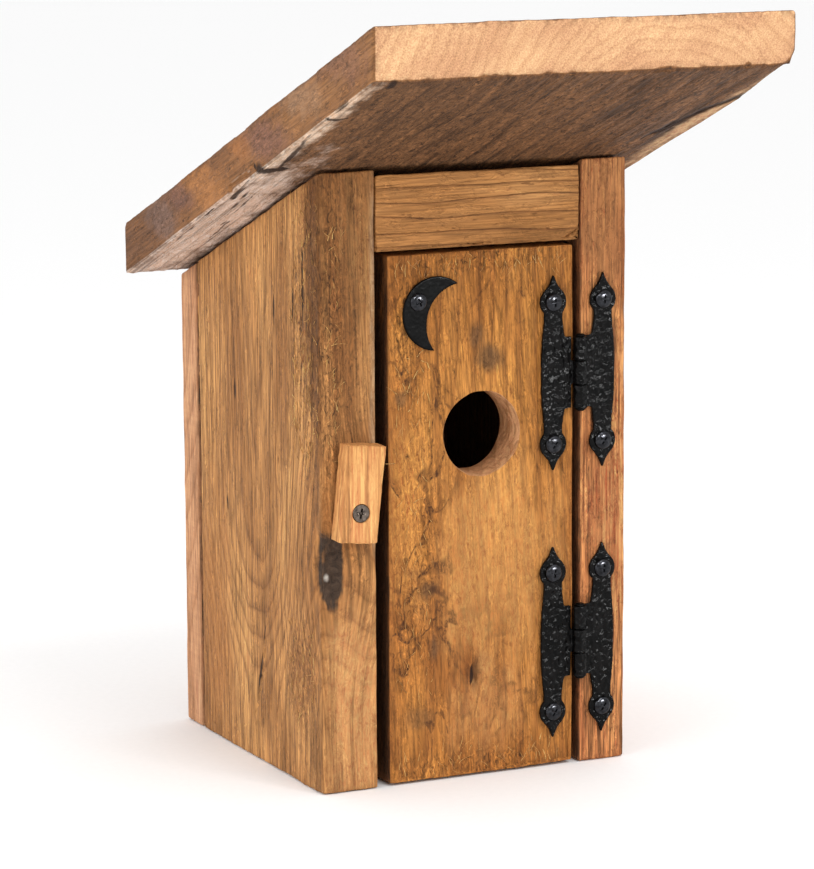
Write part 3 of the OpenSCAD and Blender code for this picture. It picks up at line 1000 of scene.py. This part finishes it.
def arc(centre, radius, first, last, count):
    angles = np.linspace(first, last, count)
    return centre + radius * np.stack([np.cos(angles), np.sin(angles)], 1)


def make_moon(material):
    """A crescent: one disc less another, with its tips a little blunt."""
    outer, bite = (at_body(x, 0, z)[[0, 2]] for x, z in ((-19.7, 214.4), (-6.6, 209.2)))
    outer_r, bite_r, tip = 16.7, 18.3, 0.012
    apart = bite - outer
    gap = np.linalg.norm(apart)
    heading = math.atan2(apart[1], apart[0])
    spread = math.acos((gap**2 + outer_r**2 - bite_r**2) / (2 * gap * outer_r)) + tip
    inner = math.acos((gap**2 + bite_r**2 - outer_r**2) / (2 * gap * bite_r)) - tip
    turn = 2 * math.pi
    outside = arc(outer, outer_r, heading + spread, heading + turn - spread, 72)
    inside = arc(bite, bite_r, heading + turn / 2 + inner, heading + turn / 2 - inner, 60)
    low, high = box_mm("moon_plate")
    solid = plate(np.concatenate([outside, inside]), high[1] - low[1], 0.3)
    return hammered("moon", solid, material, 0.3, 1, 0.05, 2.4, 71, "moon_plate")


def button_shape(points, facing):
    return 0.5 * (np.abs(facing[:, 0]) > 0.5) * (1 + layered(points, (3, 4, 4), 83))


def make_button(material):
    """The turn button, turned clear of the door with its long end up and 6 degrees off upright."""
    size = np.array([45.4, 19.6, 10.5])
    low = np.array([-14.3, -size[1] / 2, -size[2]])
    points, faces, rim = worn_block(low, low + size, 13, step=0.9, edge=1.7, wear=0.9,
                                    swell=0.35, cell=(26, 9, 9), shape=button_shape)
    out_of_front = Matrix.Rotation(math.radians(90), 3, "X")
    upright = np.array(out_of_front @ Matrix.Rotation(math.radians(90 - 6), 3, "Z"))
    pivot = np.array(JOINTS["button_turn"]["pos_m"]) / MM
    pivot[1] = box_mm("turn_button")[1][1] - size[2]
    button = make_object("turn_button_visual", points @ upright.T + pivot, faces, material, rim)
    tool, faces = lathe([(0, -14), (2.4, -14), (2.4, -3.4), (4.25, -0.9), (4.45, -0.2),
                         (4.9, 0.25), (5.2, 3), (0, 3)], 64)
    cut(button, tool @ upright.T + pivot, faces, 40)
    return button


# ---------------------------------------------------------------- hinges

PIN_X, PIN_Y, PIN_RADIUS = 51.5, -3.5, 1.5
BARREL_RADIUS, BARREL_LENGTH = 3.2, 33.0
LEAF_THICK, STRAP_FROM_PIN, SCREW_FROM_MIDDLE = 2.0, 12.7, 32.5
HINGE_MIDDLES = {"lower": 58.6, "upper": 183.2}


def leaf_outline(side):
    """One leaf's outline about the middle of its strap, X away from the pin for side 1."""
    strap = [(6.1, 7.6, 0), (6.0, 7.2, 8), (5.7, 6.4, 14), (5.1, 5.2, 20), (4.6, 4.6, 25),
             (4.7, 4.7, 27)]
    curve = arc((0, SCREW_FROM_MIDDLE), 6.7, math.radians(-46), math.radians(38), 12)
    head = [tuple(p) for p in curve]
    head += [(3.6, 38.6), (2.0, 40.6), (1.0, 42.8), (0.35, 44.7)]
    outer = [(u, v) for u, _, v in strap] + head
    inner = [(-u, v) for _, u, v in strap] + [(-u, v) for u, v in head]
    right = [(u, -v) for u, v in outer[:0:-1]] + outer
    left = inner[::-1] + [(u, -v) for u, v in inner[1:]]
    outline = np.array(right + left) * (side, 1)
    return outline if side > 0 else outline[::-1]


def make_leaf(which, on_door, material):
    """A hinge leaf: its strap, its knuckles on the pin and the webs that join them."""
    node = f"{which}_hinge_{'door' if on_door else 'frame'}_leaf"
    middle, side = HINGE_MIDDLES[which], -1 if on_door else 1
    pin = at_body(PIN_X, PIN_Y, middle)

    def web(near, far, low, high, behind):
        """A web of the leaf's thickness, between two distances from the pin."""
        x = sorted((pin[0] + side * near, pin[0] + side * far))
        return brick((x[0], FRONT_Y - LEAF_THICK, middle + low),
                     (x[1], FRONT_Y - behind, middle + high))

    clear = BARREL_RADIUS + 0.5
    end, third = BARREL_LENGTH / 2, BARREL_LENGTH / 6
    solids = [plate(leaf_outline(side) + (pin[0] + side * STRAP_FROM_PIN, middle), LEAF_THICK, 0.5),
              web(clear, STRAP_FROM_PIN - 3, -end, end, 0)]
    spans = [(-end, -third - 0.2), (third + 0.2, end)]
    if on_door:
        spans = [(0.2 - third, third - 0.2)]
    for low, high in spans:
        knuckle, faces = loft([circle(BARREL_RADIUS, z, 40) for z in (low, high)])
        solids += [(knuckle + pin, faces), web(0, clear + 1, low, high, 0.3)]
    seed = 91 + 2 * side + (7 if which == "upper" else 0)
    return hammered(node + "_visual", join(solids), material, 0.36, 2, 0.42, 2.6, seed, node)


def make_pin(which, material):
    """A hinge pin with a flat head at each end."""
    half, head = BARREL_LENGTH / 2, PIN_RADIUS + 0.8
    top = [(PIN_RADIUS, half + 0.1), (head, half + 0.15), (head, half + 0.5),
           (PIN_RADIUS, half + 1.1), (0, half + 1.1)]
    points, faces = lathe([(r, -z) for r, z in top[::-1]] + top, 32)
    place = at_body(PIN_X, PIN_Y, HINGE_MIDDLES[which])
    return make_object(f"{which}_pin_visual", points + place, faces, material)


# ---------------------------------------------------------------- materials of this birdhouse

TO_LEFT, TO_RIGHT, TO_FRONT, DOWN = (-1, 0, 0), (1, 0, 0), (0, -1, 0), (0, 0, -1)

LEFT_WOOD = wood(
    "left_side_wood", GRAIN_UP, (-48, 72, 60), (216, 160, 98), (188, 133, 78),
    (150, 100, 54), (106, 64, 31), ring_gap=5.0, ring_show=0.55, tilt=(0, 1.5),
    arch=(15, 125, 26), blotch=0.65, fibre=0.5, fuzz=0.6, streaks=0.26, wave=8.0,
    patches=[
        ((-77, 6, 225), (5, 15, 95), (102, 62, 29), 0.86, TO_LEFT),
        ((-77, 40, 200), (4, 9, 60), (128, 82, 42), 0.6),
        # Painted shade at the top of the front edge under the roof, and painted light low down on
        # it
        ((-64, 0, 240), (22, 6, 80), (122, 74, 36), 0.66, TO_FRONT),
        ((-58, 0, 40), (24, 6, 60), (224, 162, 104), 0.5, TO_FRONT),
        ((-72.5, 0, 101), (8, 12, 24), (50, 39, 31), 0.95),
        ((-73.5, 0, 99), (1.8, 4, 2.3), (196, 187, 176), 0.88),
        ((-50, 0, 200), (2.6, 5, 90), (196, 164, 130), 0.5, TO_FRONT),
        ((-77, 22, 50), (4, 20, 24), (132, 84, 44), 0.5),
        ((-77, 120, 60), (4, 20, 70), (164, 106, 56), 0.5),
        ((-77, 8, 20), (5, 9, 26), (112, 70, 34), 0.6, TO_LEFT),
        ((-77, 62, 30), (4, 12, 20), (126, 80, 40), 0.45, TO_LEFT),
        # Painted shade on the inner face, inside the closed box
        ((-58, 76, 130), (12, 220, 400), (84, 58, 38), 0.9, TO_RIGHT),
    ],
    fuzz_patches=[((-77, 14, 215), (5, 20, 95)), ((-77, 22, 50), (4, 20, 34)),
                  ((-72, 0, 205), (10, 5, 85))],
    knots=[((-73, 0, 103), (60, 52, 78), 0.7)],
    cracks=[((-77, 95, 165), (-77, 95, 176), 1.2), ((-77, 105, 110), (-77, 106, 121), 1.0),
            ((-77, 62, 66), (-77, 76, 20), 1.1), ((-77, 17, 262), (-77, 20, 185), 1.3),
            ((-77, 26, 255), (-77, 30, 205), 1.0), ((-77, 49, 200), (-77, 50, 222), 1.3),
            ((-77, 139.3, 0), (-77, 139.3, 215), 2.2)],
)
RIGHT_WOOD = wood(
    "right_side_wood", GRAIN_UP, (90, -60, 0), (222, 156, 98), (196, 132, 79),
    (160, 94, 54), (126, 56, 30), ring_gap=2.6, ring_show=0.36, streaks=0.3,
    blotch=0.9, fuzz=0.8, fibre=0.75, late_soft=0.14,
    patches=[((66, 0, 120), (12, 6, 70), (132, 70, 36), 0.58),
             ((66, 0, 250), (16, 6, 40), (158, 104, 62), 0.6),
             # Painted shade on the inner face, inside the closed box
             ((57, 76, 130), (12, 220, 400), (76, 52, 34), 0.92, TO_LEFT)],
)
DOOR_WOOD = wood(
    "door_wood", GRAIN_UP, (-38, 40, 120), (202, 137, 66), (176, 113, 51),
    (144, 86, 37), (110, 61, 26), ring_gap=6.2, ring_show=0.5, tilt=(-4, 3),
    blotch=0.75, fibre=0.4, fuzz=0.62, wave=9.0, streaks=0.3,
    bore=(216, 162, 116),
    patches=[
        ((7, 0, 192), (9, 5, 8), (92, 66, 42), 0.8),
        ((1, 0, 203), (5, 5, 8), (100, 70, 44), 0.7),
        ((-37, 0, 177), (4, 5, 5), (100, 70, 42), 0.7),
        ((-23, 0, 89), (6, 5, 5), (72, 44, 26), 0.9),
        ((-30, 0, 97), (7, 5, 3), (96, 58, 30), 0.6),
        ((-21, 0, 62), (3.5, 5, 8), (92, 64, 40), 0.7),
        ((-0.6, 0, 48), (3, 5, 10), (58, 36, 22), 0.85),
        ((4, 0, 52), (6, 5, 5), (92, 58, 34), 0.5),
        ((-27, 0, 30), (9, 5, 6), (110, 76, 44), 0.55),
        ((12, 0, 96), (40, 5, 60), (214, 154, 88), 0.45),
        ((-36, 0, 128), (14, 5, 44), (220, 152, 78), 0.4),
        ((8, 0, 30), (26, 5, 24), (212, 152, 92), 0.35),
        # Painted shade on the door's left edge, down in the gap by the left board
        ((-43.5, 11, 120), (6, 26, 220), (54, 34, 21), 0.94, TO_LEFT),
    ],
    fuzz_patches=[((0, 0, 4), (60, 6, 12)), ((0, 0, 238), (60, 6, 9)),
                  ((-34, 0, 205), (12, 5, 40)), ((-30, 0, 110), (16, 5, 80))],
    contours=[((-30, 0, 130), (24, 6, 150), 1.0), ((20, 0, 225), (40, 6, 22), 0.8),
              ((20, 0, 40), (40, 6, 50), 0.6), ((-28, 0, 50), (24, 6, 50), 1.0)],
    cracks=[((-19, 0, 118), (-18.5, 0, 96), 0.7), ((-0.6, 0, 55), (-2.5, 0, 42), 1.3)],
)
RAIL_WOOD = wood(
    "rail_wood", GRAIN_ACROSS, (0, 30, 190), (206, 150, 92), (180, 124, 70),
    (146, 98, 52), (82, 44, 20), ring_gap=6.5, ring_show=0.85, blotch=0.75, fuzz=0.45,
    wave=10.0, streaks=0.05, fibre=0.3, late_from=0.95, late_soft=0.1,
)


def under_roof(x, y, up=0.0):
    """A point on the roof's underside or above it, from the middle of the body's front face."""
    return x, y, roof_under(FRONT_Y + y) + up


# The split's dark line paints the shadow of its step, wider than the groove cut in the underside
SPLIT_LINE = [under_roof(x, y, 1.6) for x, y in [(99, -104), *ROOF_SPLIT]]
ROOF_WOOD = wood(
    "roof_wood", GRAIN_DOWN_ROOF, (30, 0, 240), (154, 108, 67), (135, 90, 53),
    (106, 71, 47), (82, 52, 32), ring_gap=5.0, ring_show=0.22, blotch=0.6, fuzz=0.75,
    streaks=0.1, fibre=0.3, wave=11.0, ends=((207, 160, 118), (164, 112, 74)),
    # The underside's grey wisps, their tones darkened as painted shade under the roof
    weather_and_shade=((122, 84, 53), (34, 21, 12), DOWN),
    patches=[
        ((-106, 60, 270), (10, 34, 12), (176, 117, 66), 0.6),
        ((-106, -45, 318), (8, 24, 10), (164, 128, 98), 0.5),
        ((-106, -85, 336), (8, 30, 12), (130, 92, 72), 0.6),
        ((-106, 113, 250), (8, 24, 10), (114, 90, 80), 0.65),
        ((-106, -10, 296), (8, 30, 10), (120, 84, 72), 0.65),
        ((-106, 90, 262), (8, 20, 7), (116, 82, 70), 0.6),
        ((-106, 20, 290), (8, 14, 6), (170, 110, 62), 0.5),
        ((-106, -45, 299), (9, 100, 60), (238, 206, 178), 0.94, DOWN),
        ((-95, 84, 248), (24, 130, 80), (232, 206, 188), 0.92, DOWN),
        ((92, -30, 300), (8, 110, 60), (222, 178, 134), 0.8, DOWN),
    ],
    cracks=[(a, b, 5.4, (a == SPLIT_LINE[0], b == SPLIT_LINE[-1]))
            for a, b in zip(SPLIT_LINE, SPLIT_LINE[1:])] + [
        ((-106, 5, 285), (-106, -2, 281.5), 1.6, (True, False)),
        # The notch's dark lines paint the shadow inside it
        (under_roof(-106, -2, 1), under_roof(-100, -1.5, 1), 4.4, (False, False)),
        (under_roof(-100, -1.5, 1), under_roof(-92, -2.7, 1), 3.8, (False, True)),
        (under_roof(-106, 2), under_roof(-100, 44), 1.7),
        (under_roof(-103, 10), under_roof(-98, 52), 1.5),
        ((-106, 31, 274), (-106, 29, 266), 1.5),
        ((-106, 8, 284), (-106, 31, 273.5), 0.8),
        (under_roof(-106, -72), under_roof(-100, -70.5), 2.2, (True, False)),
        (under_roof(-100, -70.5), under_roof(-94, -73.5), 2.0, (False, True)),
    ] + [
        (under_roof(*start), under_roof(*end), width) for start, end, width in (
            ((-106, -100), (-105, -76), 2.4), ((-97, -124), (-94, -106), 2.6),
            ((-104, -60), (-97, -10), 1.5), ((-102, -44), (-94, 20), 1.4),
            ((-99, 10), (-90, 80), 1.4), ((-104, 50), (-98, 130), 1.5),
            ((-92, 30), (-86, 100), 1.4), ((-88, 60), (-82, 130), 1.4),
        )
    ],
)
BACK_WOOD = wood(
    "back_wood", GRAIN_UP, (14, 210, 0), (230, 178, 138), (210, 156, 114),
    (174, 120, 82), (150, 98, 62), ring_gap=7.0, ring_show=0.6, fuzz=0.3, saw=0.12,
    streaks=0.2, fibre=0.4, blotch=0.5, arch=(20, 230, 40), wave=8.0,
    # Painted shade on the back's inner face, inside the closed box
    patches=[((0, 139, 130), (120, 12, 330), (84, 58, 38), 0.9, TO_FRONT)],
)
FLOOR_WOOD = wood(
    "floor_wood", GRAIN_ACROSS, (0, 90, -30), (214, 168, 116), (194, 146, 96),
    (164, 116, 70), (140, 92, 52), ring_gap=5.0, fuzz=0.3, streaks=0.3,
)
BUTTON_WOOD = wood(
    "button_wood", GRAIN_UP, (-70, 12, 90), (232, 172, 110), (212, 150, 90),
    (182, 122, 68), (150, 94, 50), ring_gap=3.6, ring_show=0.5, blotch=0.5, fuzz=0.25,
    streaks=0.2, fibre=0.4, late_soft=0.14,
)
FIBRE = wood(
    "torn_fibre", GRAIN_UP, (0, 0, 0), (240, 196, 132), (222, 172, 104),
    (186, 128, 66), (160, 104, 54), fuzz=0.0,
)
HAMMERED = metal("hammered_iron", (4, 4, 4), (10, 9, 9), 0.35, (160,), (900, 3.0, 0.6),
                 (0.1, 0.22), (0.0008, 1.0), dented=True, Specular_IOR_Level=0.08)
BLACK = metal("satin_black", (4, 4, 4), (9, 9, 9), 0.35, (90,), (1100, 3.0, 0.6),
              (0.24, 0.36), (0.0001, 0.5), Specular_IOR_Level=0.05)
SCREW_BLACK, SCREW_BRONZE, SCREW_GREY = (
    metal(name, dark, light, 0.3, (700, 3.0, 0.6), ((2600, 2600, 300), 3.0, 0.6, 0.4),
          (0.1, 0.26), (0.00006, 0.6), Metallic=0.85)
    for name, dark, light in (
        ("black_screw", (18, 18, 20), (54, 55, 59)),
        ("bronze_screw", (48, 42, 38), (112, 100, 90)),
        ("grey_screw", (92, 92, 96), (176, 176, 180)),
    )
)

# ---------------------------------------------------------------- the pieces

SIDE = {"step": (1.5, 1.8, 1.8), "edge": 1.3, "wear": 0.8, "swell": 0.6}
stand_for(make_board("left_side", LEFT_LOW, LEFT_HIGH, 1, LEFT_WOOD, shape=left_shape,
                     rise=under_the_roof(LEFT_HIGH[2]), **SIDE),
          "side_wood", "root", "left_side_board")
stand_for(make_board("right_side", RIGHT_LOW, RIGHT_HIGH, 2, RIGHT_WOOD,
                     rise=under_the_roof(RIGHT_HIGH[2]), **SIDE),
          "side_wood", "root", "right_side_board")
stand_for(make_board("back", BACK_LOW, BACK_HIGH, 5, BACK_WOOD, shape=back_shape,
                     rise=under_the_roof(BACK_HIGH[2]), step=(1.8, 1.6, 1.8), edge=1.4,
                     wear=0.8, swell=0.5),
          "back_wood", "root", "back_board")
# The roof is shaped level, standing on zero, and then laid on its slope
cracked = (at_body(66, 0, 0)[0], at_body(95, 0, 0)[0], 0.8)
stand_for(make_board("roof", np.array([*ROOF_LOW[:2], 0.0]),
                     np.array([*ROOF_HIGH[:2], ROOF_PLUMB]), 3, ROOF_WOOD, shape=roof_shape,
                     rise=lambda points: roof_under(points[:, 1]), step=(1.4, 1.8, 1.0),
                     edge=2.4, wear=1.0, swell=0.8, cell=(34, 60, 24), wear_cell=(22, 30, 16),
                     dense=((cracked,), (), ())),
          "roof_wood", "root", "roof_board")
stand_for(make_board("rail", RAIL_LOW, RAIL_HIGH, 9, RAIL_WOOD, shape=rail_shape,
                     rise=rail_rise, step=(1.6, 1.8, 1.1), edge=1.4, wear=0.8, swell=0.4,
                     cell=(60, 18, 14)),
          "rail_wood", "root", "top_rail")
stand_for(make_board("floor_board", FLOOR_LOW, FLOOR_HIGH, 11, FLOOR_WOOD, step=2.4, edge=1.2,
                     wear=0.6, swell=0.4, cell=(60, 18, 18)),
          "floor_wood", "root", "floor_board")
stand_for(make_door(DOOR_WOOD), "door_wood", "door", "door_board")
stand_for(make_button(BUTTON_WOOD), "button_wood", "turn_button", "turn_button")
stand_for(make_moon(BLACK), "black_iron", "door", "moon_plate")

fibre_sets = (
    ("left_band", "root", 170, (-76.6, 2, 150), (-76.6, 30, 268), TO_LEFT),
    ("left_low", "root", 60, (-76.6, 8, 30), (-76.6, 36, 74), TO_LEFT),
    ("left_stile", "root", 60, (-73, 0.5, 150), (-66, 0.5, 262), TO_FRONT),
    ("door_low", "door", 50, (-41, 0.4, 3), (46, 0.4, 14), TO_FRONT),
    ("door_high", "door", 50, (-40, 0.4, 230), (46, 0.4, 239), TO_FRONT),
    ("door_left", "door", 110, (-41, 0.4, 40), (-22, 0.4, 225), TO_FRONT),
)
for seed, (name, body, count, low, high, out) in enumerate(fibre_sets):
    fibres = make_fibres(name + "_fibres", FIBRE, count, 200 + seed, at_body(*low),
                         at_body(*high), out)
    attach(fibres, body)


def round_screws(name, places, body, node):
    """Black round-head screws that stand for a CAD node."""
    screws = make_screws(name, places, round_head(1.7, 4.2, 1.6, 16), SCREW_BLACK,
                         (2.1, 0.9, 1.2), 1.6)
    stand_for(screws, "black_iron", body, node)


for which, middle in HINGE_MIDDLES.items():
    for on_door, part, body in ((True, "door", "door"), (False, "frame", "root")):
        leaf = make_leaf(which, on_door, HAMMERED)
        stand_for(leaf, "black_iron", body, f"{which}_hinge_{part}_leaf")
        x = PIN_X + (-STRAP_FROM_PIN if on_door else STRAP_FROM_PIN)
        places = [(at_body(x, -LEAF_THICK, middle + end * SCREW_FROM_MIDDLE), FRONT, 25 + 60 * end)
                  for end in (-1, 1)]
        round_screws(f"{which}_{part}_screws", places, body, f"{which}_hinge_{part}_screws")
    stand_for(make_pin(which, BLACK), "black_iron", "root", f"{which}_hinge_pin")
round_screws("moon_screw_visual", [(at_body(-28.9, -1.5, 220.2), FRONT, 20)], "door",
             "moon_screw")

pivot = np.array(JOINTS["button_turn"]["pos_m"]) / MM
pivot[1] = box_mm("turn_button")[0][1] + 0.4
BOARD_SCREW = flat_head(2.1, 4.1, 2.6, 44)
for name, node, places, profile, material in (
    ("button_screw_visual", "turn_button_screw", [(pivot, FRONT, 78)],
     flat_head(2.1, 4.0, 2.6, 32), SCREW_BRONZE),
    ("roof_screws_visual", "roof_screws", ROOF_SCREWS, flat_head(2.1, 4.1, 2.6, 47), SCREW_GREY),
    ("back_screws_visual", "back_screws", BACK_SCREWS, BOARD_SCREW, SCREW_GREY),
    ("floor_screws_visual", "floor_screws", FLOOR_SCREWS, BOARD_SCREW, SCREW_GREY),
):
    screws = make_screws(name, places, profile, material, (2.3, 1.0, 1.7))
    stand_for(screws, "steel", "root", node)

# The rail's nails slant back into the side boards, 30 degrees off the rail
slant = math.radians(90 - 30)
nails = [(at_body(end - side * 13, 20, z), (-side * math.sin(slant), math.cos(slant), 0.0), 0)
         for side, end in ((-1, -49), (1, 53)) for z in (250, 260)]
NAIL = [(0, -30), (0.4, -29), (1.1, -27), (1.1, -0.8), (2.2, -0.35), (2.2, -0.05), (2.0, 0.0),
        (0, 0.0)]
stand_for(make_screws("rail_nails_visual", nails, NAIL, SCREW_GREY, turns=24),
          "steel", "root", "rail_nails")

low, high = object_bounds()

make_camera()
make_studio()
